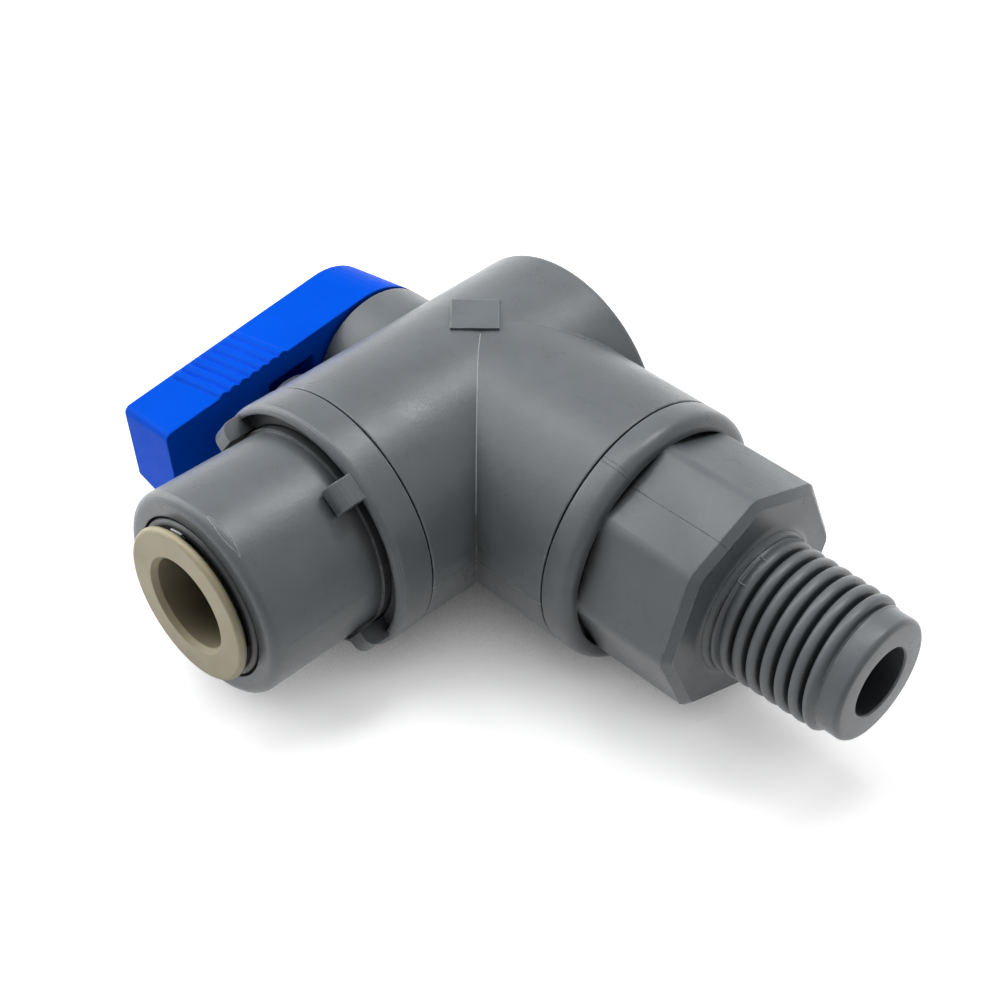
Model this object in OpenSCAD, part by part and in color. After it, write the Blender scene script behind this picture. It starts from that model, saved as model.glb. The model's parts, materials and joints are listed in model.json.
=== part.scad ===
// Angle-pattern petcock valve: a moulded quarter-turn ball valve with a push-in tube port,
// a tapered male pipe thread and a side lever.
// Everything is drawn about the crossing of the two port axes. The tube port points along -Y,
// the threaded spigot along +X and the stem with its lever along -X. The finished pieces are
// then moved so that the origin lies on the spigot axis at the middle of the first thread crest.

/* [Body] */
// Radius of the run barrel where the two port axes cross
barrel_r = 13.56; // [13.3:0.1:15]
// Draft of the run barrel, growing towards the blind end, in degrees
barrel_draft = 0.75; // [0.2:0.05:1.5]
// Step from the run barrel down to the branch barrel that carries the spigot
branch_step = 0.06; // [0:0.02:0.4]
// Crossing to the joint with the spanner ring
run_front = 19; // [18:0.5:24]
// Crossing to the blind end face
run_back = 12.4; // [12:0.2:16]
// Crossing to the joint with the spigot adapter
branch_front = 21.9; // [21:0.5:26]
// Round on the rim of the blind end
end_round = 0.6; // [0.3:0.1:1.2]
// Wall of the body round the counterbores of its two arms
body_wall = 1.25; // [1:0.05:1.6]
// Width of the seams at the ring and at the adapter
seam_w = 0.16; // [0.05:0.01:0.25]
// Round on the edges that meet at a seam
seam_round = 0.15; // [0.05:0.05:0.3]
// Radius of the ball chamber, bored along the run
chamber_r = 8.8; // [8.6:0.1:9.4]
// Radius of the branch bore between the chamber and the adapter
branch_bore_r = 8.4; // [8:0.1:8.6]
// Crossing to the shoulder under the tube port housing
run_shoulder = 12; // [11.6:0.1:13]
// Crossing to the shoulder under the adapter
branch_shoulder = 15.65; // [15:0.1:17]

/* [Stem boss and gate boss] */
// Crossing to the outer face of the stem boss
boss_face = 16; // [15.8:0.1:18]
// Radius of the boss at that face
boss_r = 8.2; // [7.6:0.1:8.4]
// Draft of the boss, in degrees
boss_draft = 0.7; // [0:0.1:3]
// Length of the boss into the barrel
boss_l = 10; // [6:0.5:10]
// Radius of the small round boss under the lever
gate_r = 4.3; // [3:0.1:5]
// Crossing to the middle of that boss, along the run
gate_at = 12.4; // [10:0.05:13]
// Crossing to its outer face
gate_face = 15.4; // [14.5:0.1:15.8]
// Round on the edge of the two bosses
boss_round = 0.2; // [0.1:0.05:0.5]

/* [Crossing pad] */
// Side of the flat square pad on the crossing
pad_side = 4.85; // [3:0.05:7]
// Offset of the pad from the crossing towards the lever
pad_shift = 0.5; // [0:0.1:1]
// Rise of the pad's top over the run barrel
pad_rise = 0.2; // [0.1:0.05:0.6]

/* [Ball and seats] */
// Diameter of the ball
ball_d = 15; // [14.4:0.1:15.4]
// Diameter of the flow passage through every piece
passage_d = 7.2; // [6:0.1:7.6]
// Outer radius of a seat ring
seat_r = 7; // [6.6:0.1:7.4]
// Width of a seat ring's bore beyond the passage, each side
seat_lip = 0.1; // [0.05:0.05:0.4]
// Crossing to the back of a seat
seat_back = 9; // [8.8:0.1:9.4]
// Crossing to the ball side of a seat
seat_front = 5.2; // [4.8:0.1:5.6]
// Gap between the ball and a seat
seat_gap = 0.06; // [0.03:0.01:0.1]
// Section radius of the O-ring behind a seat
seat_ring_section = 0.7; // [0.5:0.05:0.8]
// Centre-line radius of that O-ring
seat_ring_r = 5.7; // [5.5:0.1:6]

/* [Stem] */
// Radius of the stem
stem_r = 3; // [2.8:0.05:3.2]
// Running gap round the stem
stem_gap = 0.05; // [0.02:0.01:0.08]
// Radius of the collar that holds the stem in from inside
collar_r = 4.6; // [4.2:0.1:5]
// Crossing to the shoulder that the collar bears on
collar_shoulder = 10.9; // [10.6:0.1:11.4]
// Thickness of the thrust washer on that shoulder
thrust_washer_t = 0.5; // [0.3:0.05:0.7]
// Crossing to the inner face of the collar
collar_inner = 8.6; // [8.4:0.05:9]
// Thickness of the tang that drives the ball
tang_t = 2.5; // [2:0.1:3]
// Length of the tang across the ball
tang_l = 6.5; // [5:0.1:7.5]
// Depth of the tang in the ball's slot
tang_depth = 2; // [1.5:0.1:2.4]
// Crossing to the outer end of the stem
stem_end = 21.5; // [21:0.1:22]
// Distance across the two drive flats
drive_af = 4.4; // [4:0.1:5]
// Section radius of a stem O-ring
stem_ring_section = 0.46; // [0.4:0.01:0.5]
// Crossing to the inner stem O-ring
stem_ring_inner = 12.2; // [12:0.1:12.6]
// Crossing to the outer stem O-ring
stem_ring_outer = 14.5; // [14.2:0.1:15]
// Width of a stem O-ring groove
stem_groove_w = 1.3; // [1.1:0.05:1.5]
// Radius of the screw hole in the stem
screw_hole_r = 1.25; // [1.1:0.05:1.4]
// Crossing to the bottom of the screw hole
screw_hole_end = 15.6; // [15:0.1:17]

/* [Spanner ring] */
// Step from the body's end out to the ring's flange
ring_step = 0.04; // [0:0.02:0.3]
// Crossing to the ring's front rim
ring_front = 23.2; // [22.6:0.1:25]
// Round of the rim
ring_round = 0.85; // [0.5:0.05:1.2]
// Depth of the recess inside the rim
ring_recess = 0.9; // [0.4:0.1:1.2]
// Wall of the ring's tail, which reaches into the body
tail_wall = 1; // [0.8:0.05:1.2]
// Gap between a tail and its counterbore
tail_gap = 0.05; // [0.03:0.01:0.1]
// Crossing to the inner end of the ring's tail
ring_tail_end = 14.65; // [14.2:0.05:15.5]
// Number of spanner lugs
lug_count = 4; // [3:1:6]
// Angle of the first lug round the port, from +X towards +Z
lug_angle = 53.5; // [0:0.5:90]
// Width of a lug
lug_w = 2.7; // [1.5:0.1:3.5]
// Crossing to a lug's front face
lug_front = 25.5; // [24.4:0.1:27]
// Step from the ring's flange in to the outside of a lug
lug_step = 0.4; // [0.1:0.05:0.8]
// Round on a lug's front edge
lug_round = 1.2; // [0.3:0.1:1.4]

/* [Tube port housing] */
// Gap between the spanner ring and the shank that fills its hole
shank_gap = 0.1; // [0.05:0.05:0.2]
// Step from that shank in to the housing's root
port_step = 0.25; // [0.1:0.05:0.5]
// Growth of the housing's radius from its root to its front
port_flare = 0.15; // [0:0.05:0.2]
// Height of the bead that the shank shows before the ring
bead_l = 0.85; // [0.3:0.05:1]
// Crossing to the housing's front face
port_front = 36.45; // [36:0.05:40]
// Round on the housing's front edge, as a share of the wall round its mouth
port_round_share = 0.46; // [0.3:0.02:0.8]
// Radius of the mouth that takes the collet retainer
mouth_r = 8.6; // [8.4:0.1:8.9]
// Crossing to the bottom of the mouth
mouth_end = 32.5; // [32.2:0.1:33]
// Radius of the room for the collet head and the O-ring gland
gland_r = 7.5; // [7.4:0.05:7.7]
// Crossing to the bottom of the gland
gland_end = 25; // [24.6:0.1:25.4]
// Crossing to the stop for the end of the tube
tube_stop = 17; // [15.5:0.5:19]
// Thickness of the flange that the ring's tail clamps
flange_l = 2.6; // [2.4:0.1:3]
// Crossing to the inner end of the housing's nose
nose_end = 5.9; // [5.6:0.1:6.4]

/* [Push-in collet] */
// Outer diameter of the tube that the port takes
tube_d = 9.525; // [9:0.025:9.6]
// Gap round the tube, each side
tube_gap = 0.0875; // [0.05:0.0125:0.15]
// Crossing to the collet's face
collet_face = 38.15; // [37.8:0.05:41.6]
// Thickness of the collet's flange
collet_flange_t = 0.9; // [0.8:0.05:1.6]
// Radius of the collet's flange
collet_flange_r = 8.15; // [7.4:0.05:8.2]
// Round on the flange's edges
collet_round = 0.4; // [0.2:0.05:0.4]
// Lead-in for the tube at the collet's mouth
collet_lead = 0.4; // [0.2:0.05:0.6]
// Radius of the collet's neck
collet_neck_r = 6.3; // [6:0.05:6.4]
// Radius of the collet's head
collet_head_r = 7.2; // [7:0.05:7.3]
// Crossing to the collet's inner end
collet_end = 30.4; // [30.2:0.05:31]
// Number of slits that make the collet's fingers
finger_count = 4; // [3:1:6]
// Angle of the first slit round the port, from +X towards +Z
finger_angle = 6.5; // [0:0.5:90]
// Width of a slit
slit_w = 1; // [0.6:0.1:1.4]
// Length of a slit
slit_l = 3.6; // [3:0.1:5]
// Number of grip teeth
tooth_count = 12; // [8:1:16]
// Thickness of the stainless tooth ring
tooth_t = 0.3; // [0.2:0.05:0.4]

/* [Retainer, spacer and tube O-ring] */
// Crossing to the middle of the retainer's rounded lip
lip_at = 35.1; // [34.8:0.1:35.2]
// Section radius of that lip
lip_r = 0.6; // [0.4:0.05:0.7]
// Angle at which the lip starts round the port, from +X towards +Z
lip_from = -47; // [-60:0.5:-30]
// Angle that the lip takes round the port
lip_angle = 200; // [190:1:240]
// Radius of the retainer's bore
retainer_bore_r = 6.6; // [6.5:0.05:6.8]
// Section radius of the tube O-ring
tube_ring_section = 1.3; // [1.2:0.05:1.32]
// Thickness of the spacer between collet and O-ring
spacer_t = 1; // [0.8:0.1:1.2]

/* [Spigot adapter] */
// Crossing to the start of the flange's round
flange_edge = 24; // [23:0.05:24.5]
// Round of the flange
flange_round = 1.2; // [0.8:0.1:1.5]
// Width of the flange's rim, from the outside in to the recess
flange_rim_w = 1.6; // [1.5:0.05:1.8]
// Depth of the recess round the nut
nut_recess = 1; // [0.4:0.1:1.4]
// Size across the flats of the eight-sided nut
nut_af = 22.5; // [21:0.1:22.8]
// Turn of the nut about its axis
nut_turn = 2; // [0:0.25:45]
// Crossing to the nut's front face
nut_front = 36.4; // [34:0.1:37]
// Width of the flats on the nut's corners
nut_corner = 0.9; // [0.4:0.1:1.4]
// Chamfer round the nut's front face
nut_chamfer = 0.8; // [0.3:0.1:1.2]
// Radius of the bell cored into the adapter from behind
bell_r = 7.4; // [5:0.1:8]
// Length of the nut in front of the bell
bell_wall = 4.3; // [4:0.1:8]

/* [Threaded spigot] */
// Crossing to the middle of the first crest
thread_start = 38.2; // [37.8:0.05:39]
// Length from the first crest to the last
thread_l = 9.5; // [6:0.1:12]
// Mean radius over the crests
thread_r = 6.95; // [6.9:0.05:7.2]
// Plain length before the first crest and behind the last
thread_end_l = 0.6; // [0.4:0.05:0.8]
// Radius of the neck where it leaves the nut
neck_r = 8.3; // [7.6:0.1:9]
// Radius of the plain nose
nose_r = 6.35; // [6.1:0.05:6.45]
// Round on the nose's edge
nose_round = 0.6; // [0.2:0.1:1]
// Length of the nose beyond the last crest
nose_l = 3.5; // [2:0.1:5]

/* [Lever] */
// Gap between the lever and the stem boss
lever_gap = 0.4; // [0.2:0.05:0.5]
// Depth of the lever, from its inner to its outer face
lever_t = 8; // [7.4:0.1:9]
// Radius of the hub on the outer face
hub_outer_r = 7.1; // [6.6:0.1:7.4]
// Radius of the hub on the inner face
hub_inner_r = 8.15; // [8:0.05:8.8]
// Reach of the grip on the outer face
grip_outer_l = 26.5; // [22:0.5:34]
// Reach of the grip on the inner face
grip_inner_l = 27; // [22.5:0.5:34.5]
// Half height of the grip's end on the outer face
grip_outer_h = 4.9; // [4.4:0.1:6]
// Half height of the grip's end on the inner face
grip_inner_h = 6.15; // [5.6:0.05:7]
// Angle by which the grip stands past the tube axis when open
lever_droop = 3.5; // [0:0.25:6]
// Round on the edges of the grip's end
grip_round = 0.8; // [0.4:0.1:1.4]
// Number of grip ridges on each long side
ridge_count = 7; // [3:1:9]
// Spacing of the ridges
ridge_pitch = 1.3; // [1.1:0.05:1.6]
// Height of a ridge
ridge_h = 0.3; // [0.1:0.05:0.5]
// Radius to which a ridge is rounded
ridge_r = 0.7; // [0.5:0.05:0.9]
// Angle by which the ridges lean towards the grip's end, along the grip
ridge_lean = 4; // [0:0.5:8]
// Distance from the stem axis to the first ridge
ridge_start = 11.6; // [10:0.1:14]
// Thickness of the hub's wall and of the lever's outer wall
hub_wall = 1.6; // [1.2:0.1:2]
// Radius of the socket boss inside the hub
socket_boss_r = 4.4; // [4.2:0.1:4.8]
// Depth of the pocket and of the hub's hollow
pocket_depth = 5; // [3:0.1:5.4]
// Distance from the stem axis to the start of the pocket
pocket_start = 7.95; // [7.8:0.05:9.5]
// Distance from the stem axis to the end of the pocket
pocket_end = 14; // [12:0.1:20]
// Thickness of the wall left over and under the pocket
pocket_strip = 2.5; // [1.6:0.1:3]
// Height of the stop key on the boss face
key_h = 1.2; // [0.8:0.1:2]
// Angle that the key takes
key_angle = 30; // [20:1:45]
// Angle that a stop wall in the hub takes
wall_angle = 12; // [8:1:20]

/* [Lever screw] */
// Depth of the recess for the screw in the lever's outer face
screw_recess = 2; // [1.8:0.1:2.4]
// Radius of the screw head
head_r = 2.6; // [2.2:0.1:3]
// Height of the screw head
head_h = 1.3; // [1:0.1:1.5]
// Radius of the shank
screw_r = 1.22; // [1:0.02:1.22]
// Thickness of the washer
washer_t = 0.4; // [0.3:0.05:0.5]
// Radius of the washer
washer_r = 3; // [2.6:0.1:3.1]

/* [Hidden] */
$fn = 96;
// Small overrun that keeps cuts clean
eps = 0.5;
// Face to face clearance of pieces that are pressed together
seat_fit = 0.05;
passage_r = passage_d / 2;
ball_r = ball_d / 2;
tube_bore_r = tube_d / 2 + tube_gap;
barrel_slope = tan(barrel_draft);
barrel_front_r = barrel_r - barrel_slope * run_front;
barrel_back_r = barrel_r + barrel_slope * run_back;
branch_r = barrel_r - branch_step;
ring_r = barrel_front_r + ring_step;
lug_r = ring_r - lug_step;
flange_r = branch_r;
rim_r = flange_r - flange_rim_w;
flange_rim = flange_edge + flange_round;
counterbore_r = barrel_front_r - body_wall;
tail_r = counterbore_r - tail_gap;
ring_hole_r = tail_r - tail_wall;
shank_r = ring_hole_r - shank_gap;
port_root_r = shank_r - port_step;
port_front_r = port_root_r + port_flare;
port_round = port_round_share * (port_front_r - mouth_r);
// Housing flange between the body's shoulder and the ring's tail
flange_face = run_shoulder + flange_l;
// Face seals that lie in the housing flange and in the adapter's tail
face_ring_section = 0.75;
face_ring_r = (branch_bore_r + counterbore_r) / 2 + 0.15;
face_groove_w = 2 * face_ring_section + 0.3;
face_groove_depth = 2 * face_ring_section - 0.06;
thread_end = thread_start + thread_l;
spigot_end = thread_end + nose_l;
lever_inner = boss_face + lever_gap;
lever_outer = lever_inner + lever_t;
socket_end = stem_end + 0.1;
screw_floor = lever_outer - screw_recess;
bell_end = nut_front - bell_wall;
tooth_at = collet_end + 0.9;

function arc(cx, cy, r, a0, a1, n = 5) =
    [for (i = [0 : n]) [cx + r * cos(a0 + (a1 - a0) * i / n), cy + r * sin(a0 + (a1 - a0) * i / n)]];

// Turn +Z to each working axis, and move a finished piece into the shared frame
module on_port() { rotate([90, 0, 0]) children(); }
module on_blind() { rotate([-90, 0, 0]) children(); }
module on_spigot() { rotate([0, 90, 0]) children(); }
module on_stem() { rotate([0, -90, 0]) children(); }
module placed() { translate([-thread_start, 0, 0]) children(); }

module tube(r_out, r_in, from, to) {
    translate([0, 0, from]) difference() {
        cylinder(r = r_out, h = to - from);
        translate([0, 0, -eps]) cylinder(r = r_in, h = to - from + 2 * eps);
    }
}
module rod(r, from, to) { translate([0, 0, from]) cylinder(r = r, h = to - from); }
module o_ring(centre_r, section, at) {
    translate([0, 0, at]) rotate_extrude() translate([centre_r, 0]) circle(r = section, $fn = 32);
}
// A wedge of a ring, from one angle to another, less than half a turn
module sector(r_out, r_in, from, to, a0, a1) {
    translate([0, 0, from]) rotate([0, 0, a0])
        rotate_extrude(angle = a1 - a0) translate([r_in, 0]) square([r_out - r_in, to - from]);
}

// Body

module body_shell() {
    on_blind() rotate_extrude() polygon(concat(
        [[0, -run_front]], arc(barrel_front_r - seam_round, seam_round - run_front, seam_round, -90, 0, 3),
        arc(barrel_back_r - end_round, run_back - end_round, end_round, 0, 90),
        [[0, run_back]]));
    on_spigot() rotate_extrude() polygon(concat(
        [[0, 0], [branch_r, 0]],
        arc(branch_r - seam_round, branch_front - seam_round, seam_round, 0, 90, 3),
        [[0, branch_front]]));
    on_stem() rotate_extrude() polygon([
        [0, boss_face - boss_l], [boss_r + boss_l * tan(boss_draft), boss_face - boss_l],
        [boss_r, boss_face - boss_round], [boss_r - boss_round, boss_face], [0, boss_face]]);
}
module crossing_pad() {
    root = 1;
    translate([-pad_shift, 0, barrel_r - root]) rotate([0, 0, 45])
        translate([-pad_side / 2, -pad_side / 2, 0]) cube([pad_side, pad_side, root + pad_rise]);
}
module gate_boss() {
    translate([0, -gate_at, 0]) on_stem() rotate_extrude() polygon([
        [0, gate_face - gate_r], [gate_r, gate_face - gate_r], [gate_r, gate_face - boss_round],
        [gate_r - boss_round, gate_face], [0, gate_face]]);
}
module stop_key() {
    side_gap = 0.4;
    on_stem() sector(hub_inner_r - hub_wall - side_gap, socket_boss_r + side_gap,
                     boss_face - side_gap, boss_face + key_h, -key_angle / 2, key_angle / 2);
}
module body_bores() {
    on_port() {
        rod(counterbore_r, run_shoulder, run_front + eps);
        rod(chamber_r, -seat_front - 0.3, run_shoulder + eps);
    }
    on_blind() {
        rod(seat_r + seat_fit, seat_front, seat_back + seat_fit);
        tube(seat_ring_r + seat_ring_section + 0.1, seat_ring_r - seat_ring_section - 0.1,
             seat_back, seat_back + 2 * seat_ring_section);
    }
    on_spigot() {
        rod(counterbore_r, branch_shoulder, branch_front + eps);
        rod(branch_bore_r, 0, branch_shoulder + eps);
    }
    on_stem() {
        rod(collar_r + 0.1, 0, collar_shoulder);
        rod(stem_r + stem_gap, 0, boss_face + eps);
    }
}
module valve_body() {
    placed() color([0.49, 0.51, 0.53]) {
        difference() {
            union() {
                body_shell();
                crossing_pad();
                gate_boss();
                stop_key();
            }
            body_bores();
        }
    }
}

// A spanner lug with a rounded front edge, along +X from the ring's recess
module lug() {
    floor_at = ring_front - ring_recess;
    rotate([90, 0, 0]) translate([0, 0, -lug_w / 2]) linear_extrude(lug_w) polygon(concat(
        [[ring_hole_r, floor_at - 0.5], [lug_r, floor_at - 0.5]],
        arc(lug_r - lug_round, lug_front - lug_round, lug_round, 0, 90),
        [[ring_hole_r, lug_front]]));
}
module spanner_ring() {
    floor_at = ring_front - ring_recess;
    placed() color([0.49, 0.51, 0.53]) on_port() {
        difference() {
            union() {
                rotate_extrude() polygon(concat(
                    [[ring_hole_r, ring_tail_end], [tail_r, ring_tail_end], [tail_r, run_front + seam_w]],
                    arc(ring_r - seam_round, run_front + seam_w + seam_round, seam_round, -90, 0, 3),
                    arc(ring_r - ring_round, ring_front - ring_round, ring_round, 0, 90),
                    [[ring_r - ring_round, floor_at], [ring_hole_r, floor_at]]));
                for (i = [0 : lug_count - 1]) rotate([0, 0, lug_angle + i * 360 / lug_count]) lug();
            }
            rod(ring_hole_r, ring_tail_end - eps, lug_front + eps);
        }
    }
}

// Tube port

module tube_port_housing() {
    nose_r = chamber_r - seat_fit;
    placed() color([0.49, 0.51, 0.53]) on_port() {
        difference() {
            rotate_extrude() polygon(concat(
                [[passage_r, nose_end], [nose_r, nose_end], [nose_r, run_shoulder],
                 [tail_r, run_shoulder], [tail_r, flange_face], [shank_r, flange_face],
                 [shank_r, ring_front - ring_recess + bead_l],
                 [port_root_r, ring_front - ring_recess + bead_l]],
                arc(port_front_r - port_round, port_front - port_round, port_round, 0, 90, 6),
                [[mouth_r, port_front], [mouth_r, mouth_end], [gland_r, mouth_end],
                 [gland_r, gland_end], [tube_bore_r, gland_end], [tube_bore_r, tube_stop],
                 [passage_r, tube_stop]]));
            // Pocket for the front seat and groove for the O-ring behind it
            rod(seat_r + seat_fit, nose_end - eps, seat_back + seat_fit);
            tube(seat_ring_r + seat_ring_section + 0.1, seat_ring_r - seat_ring_section - 0.1,
                 seat_back, seat_back + 2 * seat_ring_section);
            // Face groove towards the body's shoulder
            tube(face_ring_r + face_groove_w / 2, face_ring_r - face_groove_w / 2,
                 run_shoulder - eps, run_shoulder + face_groove_depth);
        }
    }
}
module housing_o_ring() {
    placed() color([0.12, 0.12, 0.12]) on_port()
        o_ring(face_ring_r, face_ring_section - 0.05, run_shoulder + face_groove_depth / 2);
}
module collet_retainer() {
    back = mouth_end + 0.1;
    step = lip_at - lip_r;
    lip_out = mouth_r - 0.3;
    lip_in = lip_out - 2 * lip_r;
    placed() color([0.2, 0.21, 0.22]) on_port() difference() {
        rotate_extrude() polygon(concat(
            [[gland_r, back], [mouth_r - seat_fit, back], [mouth_r - seat_fit, step - 0.3],
             [lip_out, step]],
            arc(lip_out - lip_r, lip_at, lip_r, 0, 180, 10),
            [[lip_in, step], [retainer_bore_r, step - 0.4], [retainer_bore_r, back + 1.2]]));
        sector(mouth_r, lip_in - 0.1, step, lip_at + lip_r + eps, lip_from + lip_angle, lip_from + 360);
    }
}
module collet_profile() {
    back = collet_face - collet_flange_t;
    rotate_extrude() polygon(concat(
        [[tube_bore_r, collet_end], [collet_head_r - 0.5, collet_end],
         [collet_head_r, collet_end + 0.7], [collet_head_r, collet_end + 1.2],
         [collet_neck_r, collet_end + 2.6], [collet_neck_r, back]],
        arc(collet_flange_r - collet_round, back + collet_round, collet_round, -90, 0, 3),
        arc(collet_flange_r - collet_round, collet_face - collet_round, collet_round, 0, 90, 3),
        [[tube_bore_r + collet_lead, collet_face], [tube_bore_r, collet_face - 1.5 * collet_lead]]));
}
module collet() {
    placed() color([0.72, 0.68, 0.56]) on_port() difference() {
        collet_profile();
        for (i = [0 : finger_count - 1]) rotate([0, 0, finger_angle + i * 360 / finger_count])
            translate([0, -slit_w / 2, collet_end - eps]) cube([collet_head_r + 1, slit_w, slit_l + eps]);
        // Groove that holds the tooth ring
        rod(collet_neck_r - 0.35, tooth_at - seat_fit, tooth_at + tooth_t + seat_fit);
    }
}
module grip_teeth() {
    notch = 1.1;
    placed() color([0.75, 0.76, 0.78]) on_port() difference() {
        tube(collet_neck_r - 0.4, tube_bore_r - 0.05, tooth_at, tooth_at + tooth_t);
        for (i = [0 : tooth_count - 1]) rotate([0, 0, i * 360 / tooth_count])
            translate([tube_bore_r - 1, -notch / 2, tooth_at - eps]) cube([1.4, notch, tooth_t + 2 * eps]);
    }
}
module tube_o_ring() {
    placed() color([0.12, 0.12, 0.12]) on_port()
        o_ring(tube_bore_r + 0.01 + tube_ring_section, tube_ring_section - 0.01,
               gland_end + 0.05 + tube_ring_section);
}
module o_ring_spacer() {
    from = gland_end + 2 * tube_ring_section + 0.15;
    placed() color([0.3, 0.31, 0.32]) on_port()
        tube(gland_r - seat_fit, tube_bore_r + 0.1, from, from + spacer_t);
}

// Spigot adapter

// An octagonal bar with a chamfer round its front face; inside_r is the radius to its flats
module octagon_bar(inside_r, from) {
    to = nut_front - nut_chamfer;
    translate([0, 0, from]) cylinder(r = inside_r / cos(22.5), h = to - from, $fn = 8);
    translate([0, 0, to]) cylinder(r1 = inside_r / cos(22.5), r2 = (inside_r - nut_chamfer) / cos(22.5),
                                   h = nut_chamfer, $fn = 8);
}
module nut_prism(extra) {
    from = flange_rim - nut_recess - extra;
    corner_r = nut_af / 2 / cos(22.5) - nut_corner / 2 * tan(22.5);
    intersection() {
        rotate([0, 0, nut_turn]) octagon_bar(nut_af / 2, from);
        rotate([0, 0, nut_turn + 22.5]) octagon_bar(corner_r, from);
    }
}
module spigot() {
    from = thread_start - thread_end_l;
    fillet = from - nut_front;
    rotate_extrude() polygon(concat(
        [[0, nut_front - eps], [neck_r, nut_front - eps]],
        arc(neck_r, from, fillet, 270, 180),
        [[thread_r, from], [thread_r, thread_end + thread_end_l - 0.3],
         [nose_r, thread_end + thread_end_l]],
        arc(nose_r - nose_round, spigot_end - nose_round, nose_round, 0, 90, 4),
        [[0, spigot_end]]));
}
module spigot_adapter() {
    placed() color([0.49, 0.51, 0.53]) on_spigot() difference() {
        union() {
            rotate_extrude() polygon(concat(
                [[0, branch_shoulder + seat_fit], [tail_r, branch_shoulder + seat_fit],
                 [tail_r, branch_front + seam_w]],
                arc(flange_r - seam_round, branch_front + seam_w + seam_round, seam_round, -90, 0, 3),
                arc(flange_r - flange_round, flange_edge, flange_round, 0, 90),
                [[rim_r, flange_rim], [rim_r, flange_rim - nut_recess], [0, flange_rim - nut_recess]]));
            nut_prism(0.5);
            spigot();
        }
        // Flow passage with a cored bell behind the nut
        rod(passage_r, branch_shoulder - eps, spigot_end + eps);
        rod(bell_r, branch_shoulder - eps, bell_end);
        translate([0, 0, bell_end]) cylinder(r1 = bell_r, r2 = passage_r, h = bell_r - passage_r);
        tube(face_ring_r + face_groove_w / 2, face_ring_r - face_groove_w / 2,
             branch_shoulder - eps, branch_shoulder + face_groove_depth);
    }
}
module adapter_o_ring() {
    placed() color([0.12, 0.12, 0.12]) on_spigot()
        o_ring(face_ring_r, face_ring_section - 0.05, branch_shoulder + face_groove_depth / 2);
}

// Ball, seats and stem

module ball() {
    slot_w = tang_t + 0.1;
    placed() color([0.85, 0.86, 0.87]) difference() {
        sphere(r = ball_r);
        sphere(r = passage_r);
        on_port() rod(passage_r, 0, ball_r + eps);
        on_spigot() rod(passage_r, 0, ball_r + eps);
        translate([-ball_r - eps, -slot_w / 2, -ball_r])
            cube([tang_depth + 0.15 + eps, slot_w, 2 * ball_r]);
    }
}
module ball_seat() {
    difference() {
        tube(seat_r, passage_r + seat_lip, seat_front, seat_back);
        sphere(r = ball_r + seat_gap);
    }
}
module front_seat() { placed() color([0.93, 0.93, 0.91]) on_port() ball_seat(); }
module rear_seat() { placed() color([0.93, 0.93, 0.91]) on_blind() ball_seat(); }
module seat_o_ring() { o_ring(seat_ring_r, seat_ring_section - 0.02, seat_back + seat_ring_section); }
module front_seat_o_ring() { placed() color([0.12, 0.12, 0.12]) on_port() seat_o_ring(); }
module rear_seat_o_ring() { placed() color([0.12, 0.12, 0.12]) on_blind() seat_o_ring(); }

module drive_end(gap, from, to) {
    intersection() {
        rod(stem_r + gap, from, to);
        translate([-drive_af / 2 - gap, -stem_r - 1, from])
            cube([drive_af + 2 * gap, 2 * stem_r + 2, to - from]);
    }
}
module stem() {
    groove_r = stem_r + stem_gap - 2 * stem_ring_section - 0.04;
    placed() color([0.8, 0.8, 0.78]) on_stem() difference() {
        union() {
            rod(collar_r, collar_inner, collar_shoulder - thrust_washer_t - 0.05);
            rod(stem_r, collar_inner, boss_face + 0.1);
            drive_end(0, boss_face, stem_end);
            intersection() {
                translate([-tang_l / 2, -tang_t / 2, ball_r - tang_depth])
                    cube([tang_l, tang_t, collar_inner - ball_r + tang_depth + 0.2]);
                rod(collar_r, 0, collar_inner + 0.2);
            }
        }
        for (at = [stem_ring_inner, stem_ring_outer])
            tube(stem_r + 1, groove_r, at - stem_groove_w / 2, at + stem_groove_w / 2);
        rod(screw_hole_r, screw_hole_end, stem_end + eps);
    }
}
module stem_thrust_washer() {
    placed() color([0.93, 0.93, 0.91]) on_stem()
        tube(collar_r + 0.05, stem_r + 0.05, collar_shoulder - thrust_washer_t, collar_shoulder);
}
module stem_o_ring(at) {
    placed() color([0.12, 0.12, 0.12]) on_stem()
        o_ring(stem_r + stem_gap - 0.02 - stem_ring_section, stem_ring_section, at);
}
module inner_stem_o_ring() { stem_o_ring(stem_ring_inner); }
module outer_stem_o_ring() { stem_o_ring(stem_ring_outer); }

// Lever, drawn with the stem axis along Z, +X up and the grip along -Y

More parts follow.
